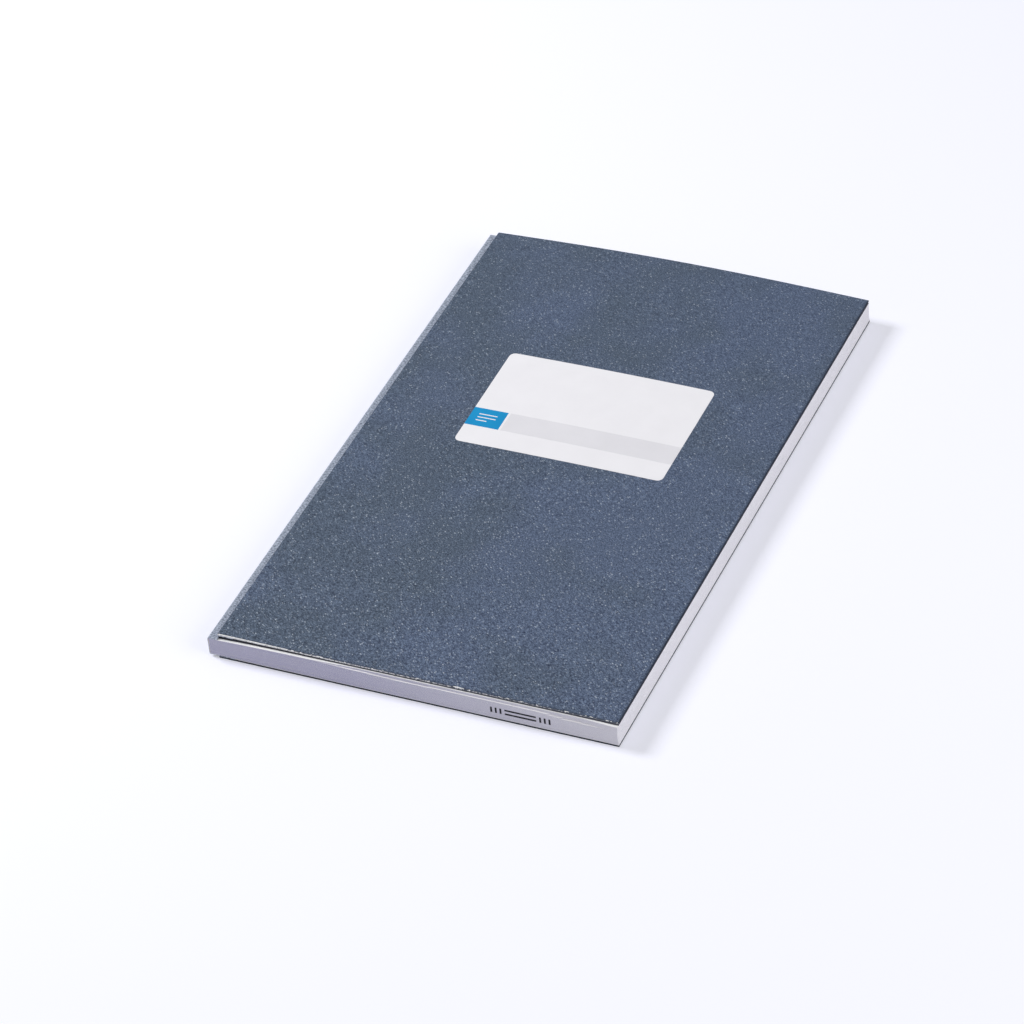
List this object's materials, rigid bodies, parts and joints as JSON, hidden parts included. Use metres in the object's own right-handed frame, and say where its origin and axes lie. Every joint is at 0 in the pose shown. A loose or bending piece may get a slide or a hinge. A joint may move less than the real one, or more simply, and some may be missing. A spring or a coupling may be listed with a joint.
{
  "type": "notebook",
  "caption": "Closed folio notebook: thread-sewn page block between hinged card covers, with a linen tape spine and a rounded paper title label on the front.",
  "frame": {"origin": "middle of the closed notebook's footprint, on the outer face of the back cover that it lies on", "axes": "+X from the spine to the fore edge, +Y from the tail edge to the head edge along the spine, +Z from the back cover up to the front cover"},
  "size_m": [0.205, 0.33, 0.0158],
  "materials": {
    "page_paper": "trimmed edges of uncoated white writing paper",
    "endpaper": "uncoated white endpaper",
    "thread": "unbleached sewing thread",
    "glue": "dried spine adhesive",
    "linen_tape": "silver grey linen-finish book tape",
    "cover_card": "blue grey card, fine leather-like embossing, dull sheen",
    "label_paper": "smooth white label paper",
    "blue_ink": "printed blue field",
    "grey_ink": "printed light grey band",
    "stamp_ink": "dark ink stamped on the page edges"
  },
  "bodies": {
    "block": {"page_block": "page_paper", "front_endpaper": "endpaper", "back_endpaper": "endpaper", "sewing_thread": "thread", "spine_glue": "glue", "spine_tape": "linen_tape", "edge_stamp": "stamp_ink"},
    "front": {"front_cover": "cover_card", "front_tape_flap": "linen_tape", "title_label": "label_paper", "label_blue_field": "blue_ink", "label_grey_band": "grey_ink"},
    "back": {"back_cover": "cover_card", "back_tape_flap": "linen_tape"}
  },
  "joints": [
    {"name": "front_cover_hinge", "type": "hinge", "parent": "block", "child": "front", "pos_m": [-0.0976, 0, 0.01226], "axis": [0, -1, 0], "range_deg": [0, 180]},
    {"name": "back_cover_hinge", "type": "hinge", "parent": "block", "child": "back", "pos_m": [-0.0976, 0, 0.00057], "axis": [0, 1, 0], "range_deg": [0, 180]}
  ]
}
